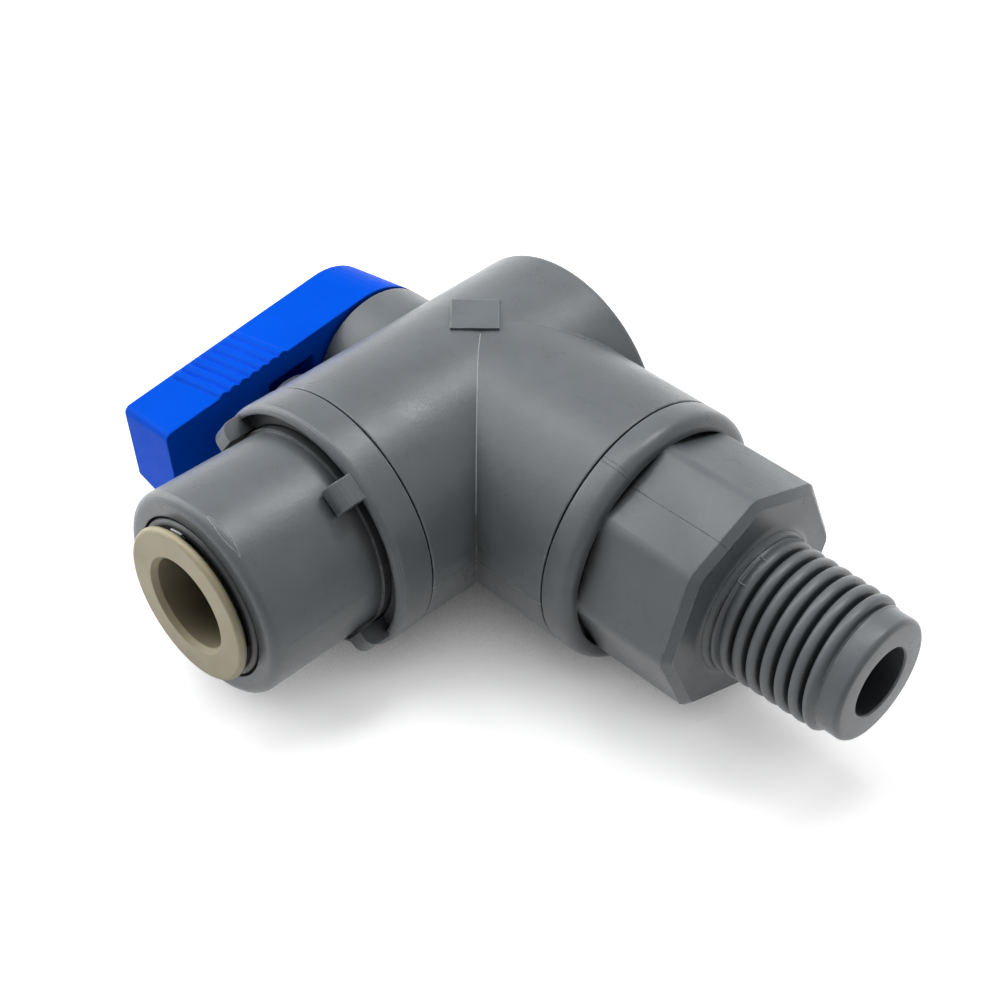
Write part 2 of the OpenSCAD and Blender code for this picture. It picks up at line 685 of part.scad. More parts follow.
module lever_solid() {
    hull() {
        translate([0, 0, lever_inner]) cylinder(r1 = hub_inner_r, r2 = hub_outer_r, h = lever_t, $fn = 48);
        for (s = [-1, 1]) {
            translate([s * (grip_inner_h - grip_round), -grip_inner_l + grip_round, lever_inner])
                cylinder(r = grip_round, h = 0.01, $fn = 16);
            translate([s * (grip_outer_h - grip_round), -grip_outer_l + grip_round, lever_outer - 0.01])
                cylinder(r = grip_round, h = 0.01, $fn = 16);
        }
    }
}
module grip_ridges() {
    lean = atan((grip_inner_h - grip_outer_h) / lever_t);
    fall = atan((hub_inner_r - grip_inner_h) / grip_inner_l);
    intersection() {
        for (s = [-1, 1], i = [0 : ridge_count - 1]) {
            along = ridge_start + i * ridge_pitch;
            h = hub_inner_r - along * tan(fall);
            translate([s * (h + ridge_h - ridge_r), -along, lever_inner]) rotate([ridge_lean, -s * lean, 0])
                translate([0, 0, -eps]) cylinder(r = ridge_r, h = lever_t + eps, $fn = 24);
        }
        translate([-hub_inner_r, -grip_inner_l, lever_inner])
            cube([2 * hub_inner_r, grip_inner_l, lever_t - 0.4]);
    }
}
module lever_hollows() {
    ring_out = hub_inner_r - hub_wall;
    // Hollow round the socket boss, with two walls that meet the stop key
    difference() {
        tube(ring_out, socket_boss_r, lever_inner - eps, lever_inner + pocket_depth);
        sector(ring_out + 0.1, socket_boss_r - 0.1, lever_inner - 1, lever_inner + pocket_depth + 0.1,
               key_angle / 2 + 2, key_angle / 2 + 2 + wall_angle);
        sector(ring_out + 0.1, socket_boss_r - 0.1, lever_inner - 1, lever_inner + pocket_depth + 0.1,
               -key_angle / 2 - 92 - wall_angle, -key_angle / 2 - 92);
    }
    drive_end(seat_fit, lever_inner - eps, socket_end);
    rod(screw_hole_r + 0.25, lever_inner, screw_floor + eps);
    rod(head_r + 0.6, screw_floor, lever_outer + eps);
}
module grip_pocket() {
    fall = (hub_inner_r - grip_inner_h) / grip_inner_l;
    near = hub_inner_r - pocket_start * fall - pocket_strip;
    far = hub_inner_r - pocket_end * fall - pocket_strip;
    translate([0, 0, lever_inner - eps]) linear_extrude(pocket_depth + eps)
        polygon([[near, -pocket_start], [far, -pocket_end], [-far, -pocket_end], [-near, -pocket_start]]);
}
module lever() {
    placed() color([0.02, 0.35, 0.92]) on_stem() difference() {
        rotate([0, 0, -lever_droop]) difference() {
            union() {
                lever_solid();
                grip_ridges();
            }
            grip_pocket();
        }
        lever_hollows();
    }
}
module lever_screw() {
    placed() color([0.75, 0.76, 0.78]) on_stem() difference() {
        union() {
            rod(screw_r, screw_hole_end + 0.2, screw_floor + washer_t + 0.1);
            rod(head_r, screw_floor + washer_t, screw_floor + washer_t + head_h);
        }
        // Cross recess
        for (a = [0, 90]) rotate([0, 0, a])
            translate([-head_r * 0.6, -0.3, screw_floor + washer_t + head_h - 0.7])
                cube([head_r * 1.2, 0.6, 1]);
    }
}
module screw_washer() {
    placed() color([0.75, 0.76, 0.78]) on_stem()
        tube(washer_r, screw_hole_r + 0.2, screw_floor, screw_floor + washer_t);
}

valve_body();
spanner_ring();
tube_port_housing();
housing_o_ring();
collet_retainer();
collet();
grip_teeth();
tube_o_ring();
o_ring_spacer();
spigot_adapter();
adapter_o_ring();
ball();
front_seat();
front_seat_o_ring();
rear_seat();
rear_seat_o_ring();
stem();
stem_thrust_washer();
inner_stem_o_ring();
outer_stem_o_ring();
lever();
lever_screw();
screw_washer();
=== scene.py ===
"""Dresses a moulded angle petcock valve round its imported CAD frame, lights it and sets its camera.

Lengths are millimetres in the part's own frame and angles are degrees, unless a comment says
otherwise. +X runs out along the threaded spigot, -Y out along the tube port, -X towards the lever
and +Z up. The crossing of the two port axes lies 38.2 mm behind the origin.
"""

import json
import logging
import math
from dataclasses import dataclass, field
from enum import Enum
from functools import cached_property
from typing import Callable, Iterable, Sequence

import bmesh
import bpy
from mathutils import Matrix, Vector


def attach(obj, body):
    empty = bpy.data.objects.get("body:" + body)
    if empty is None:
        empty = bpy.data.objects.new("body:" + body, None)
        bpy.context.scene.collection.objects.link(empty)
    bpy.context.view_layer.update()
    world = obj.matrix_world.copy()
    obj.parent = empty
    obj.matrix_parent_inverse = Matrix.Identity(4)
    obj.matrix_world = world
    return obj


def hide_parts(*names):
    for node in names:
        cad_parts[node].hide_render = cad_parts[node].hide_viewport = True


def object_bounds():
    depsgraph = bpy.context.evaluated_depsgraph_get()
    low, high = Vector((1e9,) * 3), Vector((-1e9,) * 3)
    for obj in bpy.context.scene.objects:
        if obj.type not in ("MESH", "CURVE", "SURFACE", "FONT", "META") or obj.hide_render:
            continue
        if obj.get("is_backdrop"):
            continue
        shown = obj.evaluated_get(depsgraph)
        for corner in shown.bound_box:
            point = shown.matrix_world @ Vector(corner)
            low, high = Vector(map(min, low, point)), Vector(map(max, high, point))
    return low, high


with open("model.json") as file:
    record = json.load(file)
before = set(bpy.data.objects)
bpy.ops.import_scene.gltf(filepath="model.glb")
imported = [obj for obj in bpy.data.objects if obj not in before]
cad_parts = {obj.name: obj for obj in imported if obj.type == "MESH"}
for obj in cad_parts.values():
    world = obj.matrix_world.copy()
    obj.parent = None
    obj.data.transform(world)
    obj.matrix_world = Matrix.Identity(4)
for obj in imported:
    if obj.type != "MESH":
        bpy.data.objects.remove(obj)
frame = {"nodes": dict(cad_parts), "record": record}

MM = 0.001
CROSSING = Vector((-38.2, 0.0, 0.0))
LOG = logging.getLogger("petcock_valve")

Point = tuple[float, float, float]
Rule = Callable[[Vector], bool]
Piece = bpy.types.Object
Socket = bpy.types.NodeSocket
Material = bpy.types.Material
WHITE = (1.0, 1.0, 1.0, 1.0)
# Range of a noise's grey that sets its patches off from each other
PATCHY = (0.4, 0.6)
ALONG_X: Point = (1.0, 0.0, 0.0)
ALONG_Z: Point = (0.0, 0.0, 1.0)


class Slot(Enum):
    """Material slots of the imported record."""

    BODY = "body_plastic"
    LEVER = "lever_plastic"
    COLLET = "collet_plastic"
    DARK = "dark_plastic"
    SEAL = "seal_rubber"
    BALL = "ball_plastic"
    SEAT = "seat_plastic"
    STEEL = "stainless"


class Body(Enum):
    """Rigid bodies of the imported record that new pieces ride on."""

    VALVE = "valve"
    COLLET = "collet_body"


class Pick(Enum):
    """Selection modes of a mesh in edit mode."""

    VERTS = "VERT"
    EDGES = "EDGE"


def about_x(x: float, radius: float, angle: float) -> Point:
    """Gives a place round the spigot's axis, at an angle from +Y towards +Z."""
    turn = math.radians(angle)
    return (x, radius * math.cos(turn), radius * math.sin(turn))


def about_port(radius: float, y: float, angle: float) -> Point:
    """Gives a place round the tube port's axis, at an angle from +X towards +Z."""
    turn = math.radians(angle)
    return (CROSSING.x + radius * math.cos(turn), y, radius * math.sin(turn))


def from_x_axis(place: Vector) -> float:
    """Gives how far a place lies from the spigot's axis."""
    return math.hypot(place.y, place.z)


class Bench:
    """Modelling steps that the sub-assemblies share, all on one active object."""

    # Distances in metres within which vertices become one
    WELD = 2e-6
    FINE_WELD = 1e-6
    CUT_WELD = 1e-7
    BEAD_RESOLUTION = 2
    BEAD_SMOOTH = 60.0

    @staticmethod
    def mode(name: str) -> None:
        """Puts the active object, if there is one, into a mode."""
        if bpy.context.object is not None and bpy.context.object.mode != name:
            bpy.ops.object.mode_set(mode=name)

    @staticmethod
    def clear() -> None:
        """Leaves edit mode and deselects every object."""
        Bench.mode("OBJECT")
        bpy.ops.object.select_all(action="DESELECT")

    @staticmethod
    def take(obj: Piece) -> None:
        """Makes obj the only selected and the active object.

        Args:
            obj: The object to take.
        """
        Bench.clear()
        obj.select_set(True)
        bpy.context.view_layer.objects.active = obj

    @staticmethod
    def weld(within: float) -> None:
        """Merges the active object's vertices within a length in metres, and stays in edit mode.

        Args:
            within: The length.
        """
        Bench.mode("EDIT")
        bpy.ops.mesh.select_all(action="SELECT")
        bpy.ops.mesh.remove_doubles(threshold=within)

    @staticmethod
    def node_copy(node: str, name: str) -> Piece:
        """Copies a CAD node's mesh into a new, merged piece.

        Args:
            node: Name of the CAD node.
            name: Name of the new piece.

        Returns:
            The new object, active and selected, with its doubles merged.
        """
        piece = bpy.data.objects.new(name, frame["nodes"][node].data.copy())
        bpy.context.scene.collection.objects.link(piece)
        Bench.take(piece)
        if piece.data.has_custom_normals:
            bpy.ops.mesh.customdata_custom_splitnormals_clear()
        Bench.weld(Bench.WELD)
        Bench.mode("OBJECT")
        return piece

    @staticmethod
    def chain(name: str, points: Sequence[Point]) -> Piece:
        """Extrudes one vertex from point to point into an open chain of edges.

        Args:
            name: Name of the new object.
            points: The chain's points.

        Returns:
            The new object, active and selected.
        """
        Bench.clear()
        spots = [Vector(p) * MM for p in points]
        bpy.ops.mesh.primitive_plane_add(size=MM, location=spots[0])
        obj = bpy.context.object
        obj.name = name
        bpy.ops.object.transform_apply(location=True, rotation=True, scale=True)
        Bench.mode("EDIT")
        bpy.ops.mesh.select_mode(type=Pick.VERTS.value)
        bpy.ops.mesh.select_all(action="SELECT")
        bpy.ops.mesh.merge(type="CENTER")
        for here, there in zip(spots, spots[1:]):
            bpy.ops.mesh.extrude_region_move(TRANSFORM_OT_translate={"value": there - here})
        Bench.mode("OBJECT")
        return obj

    @staticmethod
    def pick(obj: Piece, rule: Rule, kind: Pick = Pick.VERTS) -> int:
        """Selects the vertices that a rule names, and what they span, in edit mode.

        Args:
            obj: The active object.
            rule: Says of a place whether its vertex is wanted.
            kind: Selection mode that is left on.

        Returns:
            How many vertices were selected.
        """
        Bench.mode("EDIT")
        bpy.ops.mesh.select_mode(type=Pick.VERTS.value)
        bpy.ops.mesh.select_all(action="DESELECT")
        mesh = bmesh.from_edit_mesh(obj.data)
        found = 0
        for vert in mesh.verts:
            wanted = rule(vert.co / MM)
            vert.select_set(wanted)
            found += wanted
        mesh.select_flush(True)
        bmesh.update_edit_mesh(obj.data)
        bpy.ops.mesh.select_mode(type=kind.value)
        return found

    @staticmethod
    def cut(at: Point, normal: Point, inner: bool = False, outer: bool = False) -> None:
        """Bisects the active object's mesh with a plane and clears the named sides, in edit mode.

        Args:
            at: A point of the plane.
            normal: The plane's normal.
            inner: Clears the side behind the normal.
            outer: Clears the side that the normal points to.
        """
        Bench.mode("EDIT")
        bpy.ops.mesh.select_mode(type=Pick.VERTS.value)
        bpy.ops.mesh.select_all(action="SELECT")
        bpy.ops.mesh.bisect(plane_co=Vector(at) * MM, plane_no=normal, use_fill=False,
                            clear_inner=inner, clear_outer=outer, threshold=Bench.CUT_WELD)

    @staticmethod
    def smooth(obj: Piece, angle: float) -> None:
        """Merges doubles, turns the faces outwards and shades smooth up to an angle.

        Args:
            obj: The piece to finish.
            angle: Sharpest bend that is still shaded smooth.
        """
        Bench.take(obj)
        Bench.weld(Bench.FINE_WELD)
        bpy.ops.mesh.normals_make_consistent(inside=False)
        Bench.mode("OBJECT")
        bpy.ops.object.shade_smooth_by_angle(angle=math.radians(angle))

    @staticmethod
    def bead(name: str, radius: float) -> Piece:
        """Turns the active object's edges into a thin round bead, shaded smooth.

        Args:
            name: Name of the bead.
            radius: Radius of the bead.

        Returns:
            The bead as a mesh object.
        """
        Bench.take(bpy.context.object)
        bpy.ops.object.convert(target="CURVE")
        curve = bpy.context.object
        curve.name = name
        curve.data.bevel_depth = radius * MM
        curve.data.bevel_resolution = Bench.BEAD_RESOLUTION
        curve.data.use_fill_caps = True
        bpy.ops.object.convert(target="MESH")
        bead = bpy.context.object
        Bench.smooth(bead, Bench.BEAD_SMOOTH)
        return bead

    @staticmethod
    def drape(host: Piece, points: Sequence[Point]) -> list[Point]:
        """Moves each point to the nearest place on another piece's surface.

        Args:
            host: The piece to lay the points on.
            points: The points to move.

        Returns:
            The points on the surface.
        """
        laid = []
        for point in points:
            found, place, _, _ = host.closest_point_on_mesh(Vector(point) * MM)
            laid.append(tuple(place / MM) if found else tuple(point))
        return laid


class Nodes:
    """Writes the shader nodes of one material or world from left to right."""

    SEEN_RAYS = ("Is Camera Ray", "Is Glossy Ray", "Is Transmission Ray")

    def __init__(self, owner: Material | bpy.types.World) -> None:
        """Turns the owner's nodes on.

        Args:
            owner: The material or world to write.
        """
        owner.use_nodes = True
        self.owner = owner
        self.tree = owner.node_tree

    @cached_property
    def shader(self) -> bpy.types.Node:
        """The material's principled shader."""
        return self.tree.nodes["Principled BSDF"]

    @cached_property
    def where(self) -> Socket:
        """Place of the shaded point in object space."""
        return self.add("ShaderNodeTexCoord").outputs["Object"]

    def add(self, kind: str, values: dict[str, object] | None = None,
            **settings: object) -> bpy.types.Node:
        """Adds a node and sets it.

        Args:
            kind: Blender's name of the node type.
            values: Inputs of the node, each with its value or with the output that gives it.
            **settings: Properties of the node and their values.

        Returns:
            The new node.
        """
        node = self.tree.nodes.new(kind)
        for name, value in settings.items():
            setattr(node, name, value)
        for name, value in (values or {}).items():
            self.feed(node.inputs[name], value)
        return node

    def feed(self, socket: Socket, value: object) -> None:
        """Gives an input its value.

        Args:
            socket: The input.
            value: Number or colour, or the output that gives it.
        """
        if isinstance(value, Socket):
            self.tree.links.new(value, socket)
        else:
            socket.default_value = value

    def surface(self, values: dict[str, object]) -> None:
        """Gives inputs of the principled shader their values, by name."""
        for name, value in values.items():
            self.feed(self.shader.inputs[name], value)

    def noise(self, size: float, detail: float = 3.0, roughness: float = 0.5,
              stretch: Point = (1.0, 1.0, 1.0)) -> Socket:
        """Adds a noise pattern in object space.

        Args:
            size: Size of the pattern's features.
            detail: Octaves of the noise.
            roughness: Weight of the finer octaves.
            stretch: Scale along each axis before the noise is read.

        Returns:
            The pattern's grey output.
        """
        place = self.add("ShaderNodeMapping", {"Scale": stretch, "Vector": self.where})
        node = self.add("ShaderNodeTexNoise", {
            "Scale": 1.0 / (size * MM), "Detail": detail, "Roughness": roughness,
            "Vector": place.outputs["Vector"]})
        return node.outputs["Fac"]

    def spread(self, value: Socket, low: float, high: float,
               start: float = 0.3, end: float = 0.7, curve: str = "LINEAR") -> Socket:
        """Maps a grey value from start..end to low..high.

        Args:
            value: The grey output to map.
            low: Value at start.
            high: Value at end.
            start: Lower end of the input range.
            end: Upper end of the input range.
            curve: Blender's name of the way from one to the other.

        Returns:
            The mapped output, held within low and high.
        """
        node = self.add("ShaderNodeMapRange", {
            "From Min": start, "From Max": end, "To Min": low, "To Max": high, "Value": value},
            clamp=True, interpolation_type=curve)
        return node.outputs["Result"]

    def blend(self, share: Socket, first: object, second: object) -> Socket:
        """Mixes two colours by a share.

        Args:
            share: Grey output, 0 for the first colour and 1 for the second.
            first: Colour, or the output that gives it.
            second: Colour, or the output that gives it.

        Returns:
            The mixed colour.
        """
        node = self.add("ShaderNodeMix", {"Factor": share}, data_type="RGBA")
        # The colour inputs share their names with the other types' inputs, so they go by number
        for socket, colour in ((node.inputs[6], first), (node.inputs[7], second)):
            given = isinstance(colour, Socket)
            self.feed(socket, colour if given else (*colour, 1.0))
        return node.outputs[2]

    def calc(self, operation: str, first: object, second: object) -> Socket:
        """Adds one arithmetic step.

        Args:
            operation: Blender's name of the operation.
            first: Number, or the output that gives it.
            second: Number, or the output that gives it.

        Returns:
            The result.
        """
        node = self.add("ShaderNodeMath", operation=operation)
        for socket, value in zip(node.inputs, (first, second)):
            self.feed(socket, value)
        return node.outputs["Value"]

    def openness(self, reach: float, samples: int) -> Socket:
        """Gives how open the surroundings of the shaded point are.

        Args:
            reach: How far other surfaces count.
            samples: Rays for each look.

        Returns:
            The grey output, 0 where closed in and 1 in the open.
        """
        node = self.add("ShaderNodeAmbientOcclusion", {"Distance": reach * MM}, samples=samples)
        return node.outputs["AO"]

    def bump(self, height: Socket, strength: float, depth: float,
             normal: Socket | None = None) -> Socket:
        """Raises and lowers the shaded surface by a pattern.

        Args:
            height: The pattern.
            strength: How far the pattern counts, from 0 to 1.
            depth: Height of a full step of the pattern.
            normal: Normal to start from, when it isn't the mesh's own.

        Returns:
            The bumped normal.
        """
        node = self.add("ShaderNodeBump", {
            "Strength": strength, "Distance": depth * MM, "Height": height})
        if normal is not None:
            self.feed(node.inputs["Normal"], normal)
        return node.outputs["Normal"]

    def seen(self) -> Socket:
        """Gives 1 for rays that see or mirror the surface and 0 for all others.

        Returns:
            The grey output.
        """
        path = self.add("ShaderNodeLightPath")
        result, *others = (path.outputs[ray] for ray in self.SEEN_RAYS)
        for other in others:
            result = self.calc("MAXIMUM", result, other)
        return result


@dataclass(frozen=True)
class MouldedPlastic:
    """Injection-moulded plastic: slight tint and gloss variation, fine grain, softened edges with a
    pale edge colour that on some plastics paints a highlight, and painted shade in recesses.
    """

    name: str
    colour: Point
    roughness: float
    # Tint along the flow, and gloss that comes and goes in patches with fine grain in it
    tint_spread: float = 0.1
    flow_mm: float = 7.0
    gloss_spread: float = 0.1
    patch_mm: float = 2.6
    patch_depth: float = 1.5
    grain_mm: float = 0.22
    grain_depth: float = 0.10
    grain_gloss: float = 0.05
    relief_mm: float = 0.06
    sheen_level: float = 0.5
    # Softened edges, and the pale colour on them where the two normals part: rubbed plastic, and a
    # painted highlight where edge_light is large
    edge_mm: float = 0.16
    edge_samples: int = 3
    edge_light: float = 0.35
    edge_lift: float = 0.01
    rub_highlight_from: float = 0.88
    rub_highlight_to: float = 0.995
    rub_highlight_mm: float = 1.4
    rub_highlight_least: float = 0.35
    # Thin glossy skin; none where coat is 0
    coat: float = 0.0
    coat_thin: float = 0.85
    coat_roughness: float = 0.28
    glint_mm: float = 0.22
    glint_stretch: Point = (1.0, 0.7, 1.3)
    glint_depth: float = 0.35
    glint_relief_mm: float = 0.05
    # Painted shade in grooves and bores; none where cavity_mm is 0
    cavity_mm: float = 0.0
    cavity_shade: float = 0.35
    cavity_from: float = 0.25
    cavity_to: float = 0.75
    bore_mm: float = 16.0
    bore_shade: float = 0.03
    bore_from: float = 0.16
    bore_to: float = 0.50
    recess_samples: int = 2

    def shade(self, factor: float) -> Point:
        """Gives the plastic's colour times a factor."""
        return tuple(c * factor for c in self.colour)

    def recesses(self, n: Nodes, colour: Socket) -> Socket:
        """Paints shade into the colour deep in grooves and bores.

        Args:
            n: The material's nodes.
            colour: Colour of the open faces.

        Returns:
            The colour with painted shade in its grooves and bores.
        """
        groove = n.openness(self.cavity_mm, self.recess_samples)
        bore = n.openness(self.bore_mm, self.recess_samples)
        groove_shade_share = n.spread(groove, 0.0, 1.0, self.cavity_from, self.cavity_to)
        deep = n.spread(bore, 0.0, 1.0, self.bore_from, self.bore_to)
        grooved = n.blend(groove_shade_share, self.shade(self.cavity_shade), colour)
        return n.blend(deep, self.shade(self.bore_shade), grooved)

    def skin(self, n: Nodes, soft: Socket, patch: Socket) -> None:
        """Lays the thin glossy skin that breaks the highlights up into glints.

        Args:
            n: The material's nodes.
            soft: Normal with softened edges.
            patch: Pattern by which the skin comes and goes.
        """
        dents = n.noise(self.glint_mm, roughness=0.65, stretch=self.glint_stretch)
        n.surface({
            "Coat Weight": n.spread(patch, self.coat * self.coat_thin, self.coat, *PATCHY),
            "Coat Roughness": self.coat_roughness,
            "Coat Normal": n.bump(dents, self.glint_depth, self.glint_relief_mm, soft)})

    def rub_and_highlight(self, n: Nodes, soft: Socket) -> Socket:
        """Finds the edges that turn pale: rubbed plastic, and a painted highlight where edge_light
        is large.

        Args:
            n: The material's nodes.
            soft: Normal with softened edges.

        Returns:
            The grey output, 1 on an edge that turns fully pale.
        """
        shape = n.add("ShaderNodeNewGeometry")
        turn = n.add("ShaderNodeVectorMath", operation="DOT_PRODUCT")
        n.feed(turn.inputs[0], soft)
        n.feed(turn.inputs[1], shape.outputs["Normal"])
        edge = n.spread(turn.outputs["Value"], 1.0, 0.0, self.rub_highlight_from, self.rub_highlight_to)
        rub_and_highlight_patches = n.spread(n.noise(self.rub_highlight_mm, detail=2.0), self.rub_highlight_least, 1.0, *PATCHY)
        return n.calc("MULTIPLY", edge, rub_and_highlight_patches)

    def make(self) -> Material:
        """Builds the material's nodes.

        Returns:
            The material.
        """
        n = Nodes(bpy.data.materials.new(self.name))
        flow = n.noise(self.flow_mm, detail=4.0, roughness=0.6)
        tint = n.blend(n.spread(flow, 0.0, 1.0), self.shade(1 - self.tint_spread),
                       self.shade(1 + self.tint_spread))
        bevel = n.add("ShaderNodeBevel", {"Radius": self.edge_mm * MM}, samples=self.edge_samples)
        soft = bevel.outputs["Normal"]
        # Pale edge colour: rubbed plastic, and a painted highlight where edge_light is large
        rub_and_highlight_colour = tuple(min(1.0, c + self.edge_lift) for c in self.shade(1 + self.edge_light))
        colour = n.blend(self.rub_and_highlight(n, soft), tint, rub_and_highlight_colour)
        # Painted shade: the colour darkens in grooves and bores by how closed in they are
        if self.cavity_mm > 0:
            colour = self.recesses(n, colour)
        patch = n.noise(self.patch_mm, detail=5.0, roughness=0.7)
        grain = n.noise(self.grain_mm, detail=2.0)
        gloss = n.spread(patch, self.roughness - self.gloss_spread,
                         self.roughness + self.gloss_spread)
        relief = n.calc("ADD", grain, n.calc("MULTIPLY", patch, self.patch_depth))
        n.surface({
            "Base Color": colour,
            "Roughness": n.calc("ADD", gloss, n.spread(grain, -self.grain_gloss, self.grain_gloss)),
            "Specular IOR Level": self.sheen_level,
            "Normal": n.bump(relief, self.grain_depth, self.relief_mm, soft)})
        if self.coat > 0:
            self.skin(n, soft, patch)
        return n.owner


@dataclass(frozen=True)
class SealRubber:
    """Black moulded rubber with a dusty bloom."""

    name: str = "nitrile_rubber"
    colour: Point = (0.018, 0.018, 0.019)
    bloom: Point = (0.05, 0.05, 0.052)
    bloom_most: float = 0.6
    roughness: float = 0.62
    gloss_spread: float = 0.1
    cloud_mm: float = 1.2
    grain_mm: float = 0.12
    grain_depth: float = 0.2
    relief_mm: float = 0.03

    def make(self) -> Material:
        """Builds the material's nodes.

        Returns:
            The material.
        """
        n = Nodes(bpy.data.materials.new(self.name))
        cloud = n.noise(self.cloud_mm, detail=4.0, roughness=0.65)
        n.surface({
            "Base Color": n.blend(n.spread(cloud, 0.0, self.bloom_most), self.colour, self.bloom),
            "Roughness": n.spread(cloud, self.roughness - self.gloss_spread,
                                  self.roughness + self.gloss_spread),
            "Normal": n.bump(n.noise(self.grain_mm), self.grain_depth, self.relief_mm)})
        return n.owner


@dataclass(frozen=True)
class StainlessSteel:
    """Pressed and turned stainless steel with fine drawn marks."""

    name: str = "stainless_steel"
    colour: Point = (0.58, 0.58, 0.57)
    mark_tint: float = 0.85
    mark_mm: float = 0.08
    mark_stretch: Point = (0.15, 1.0, 1.0)
    mark_depth: float = 0.15
    relief_mm: float = 0.01
    roughness: float = 0.3
    smoother: float = 0.08
    rougher: float = 0.12

    def make(self) -> Material:
        """Builds the material's nodes.

        Returns:
            The material.
        """
        n = Nodes(bpy.data.materials.new(self.name))
        marks = n.noise(self.mark_mm, roughness=0.7, stretch=self.mark_stretch)
        dull = tuple(c * self.mark_tint for c in self.colour)
        n.surface({
            "Base Color": n.blend(n.spread(marks, 0.0, 1.0), dull, self.colour),
            "Roughness": n.spread(marks, self.roughness - self.smoother,
                                  self.roughness + self.rougher),
            "Normal": n.bump(marks, self.mark_depth, self.relief_mm),
            "Metallic": 1.0})
        return n.owner


Finish = MouldedPlastic | SealRubber | StainlessSteel


@dataclass
class FinishSet:
    """The finish of each material slot, made once."""

    finishes: dict[Slot, Finish] = field(default_factory=lambda: {
        # Painted shade: cavity_mm and bore_mm darken the body's grooves and bores; its large
        # edge_light paints highlights along its edges
        Slot.BODY: MouldedPlastic(
            "grey_body_plastic", (0.154, 0.170, 0.183), 0.36, gloss_spread=0.12, grain_depth=0.25,
            edge_mm=0.2, edge_light=2.6, sheen_level=0.2, coat=0.45, glint_depth=0.7,
            cavity_mm=2.2),
        Slot.LEVER: MouldedPlastic(
            "blue_lever_plastic", (0.0, 0.105, 0.86), 0.42, gloss_spread=0.06, tint_spread=0.05,
            edge_mm=0.4, edge_light=0.1, sheen_level=0.02),
        # Painted shade: cavity_mm and bore_mm darken the collet's grooves and bore by how closed in
        # they are
        Slot.COLLET: MouldedPlastic(
            "beige_collet_acetal", (0.52, 0.46, 0.31), 0.45, tint_spread=0.05, edge_mm=0.2,
            edge_light=0.1, sheen_level=0.3, cavity_mm=1.5, bore_mm=24.0, bore_from=0.20,
            bore_to=0.56),
        Slot.DARK: MouldedPlastic("dark_grey_plastic", (0.035, 0.037, 0.04), 0.42, edge_mm=0.12),
        Slot.BALL: MouldedPlastic(
            "off_white_acetal", (0.68, 0.68, 0.65), 0.25, gloss_spread=0.05, tint_spread=0.03,
            edge_light=0.05),
        Slot.SEAT: MouldedPlastic(
            "white_seat_plastic", (0.80, 0.80, 0.78), 0.5, tint_spread=0.03, edge_light=0.05),
        Slot.SEAL: SealRubber(),
        Slot.STEEL: StainlessSteel(),
    })
    # Pale finish of the flash beads and the clip's tab: its pale colour paints the highlight that
    # they catch
    flash: MouldedPlastic = MouldedPlastic(
        "pale_flash_painted_highlight", (0.50, 0.53, 0.55), 0.30, tint_spread=0.25, flow_mm=1.5, edge_light=0.0,
        coat=0.5)
    made: dict[str, Material] = field(default_factory=dict)

    def dress(self, obj: Piece, slot: Slot, pale: bool = False) -> None:
        """Gives obj one material and nothing else, and makes that material the first time.

        Args:
            obj: The piece to dress.
            slot: Its material slot.
            pale: Gives it the pale finish, which paints the highlight that a thin flash catches.
        """
        finish = self.flash if pale else self.finishes[slot]
        if finish.name not in self.made:
            self.made[finish.name] = finish.make()
        obj.data.materials.clear()
        obj.data.materials.append(self.made[finish.name])

    def place(self, obj: Piece, slot: Slot, body: Body, pale: bool = False) -> None:
        """Dresses a new piece and lets it ride on its body.

        Args:
            obj: The new piece.
            slot: Its material slot.
            body: The body that it rides on.
            pale: Gives it the pale finish, which paints the highlight that a thin flash catches.
        """
        self.dress(obj, slot, pale)
        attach(obj, body.value)
        LOG.info("%s: %d faces, rides on %s", obj.name, len(obj.data.polygons), body.value)


@dataclass
class CadPieces:
    """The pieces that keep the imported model's own shape."""

    def dress(self, finishes: FinishSet) -> None:
        """Gives each CAD node the finish that the record names for it.

        Args:
            finishes: The finishes to dress with.
        """
        for row in frame["record"]["subparts"]:
            finishes.dress(frame["nodes"][row["node"]], Slot(row["material_slot"]))
            LOG.info("%s: %s", row["node"], row["material_slot"])


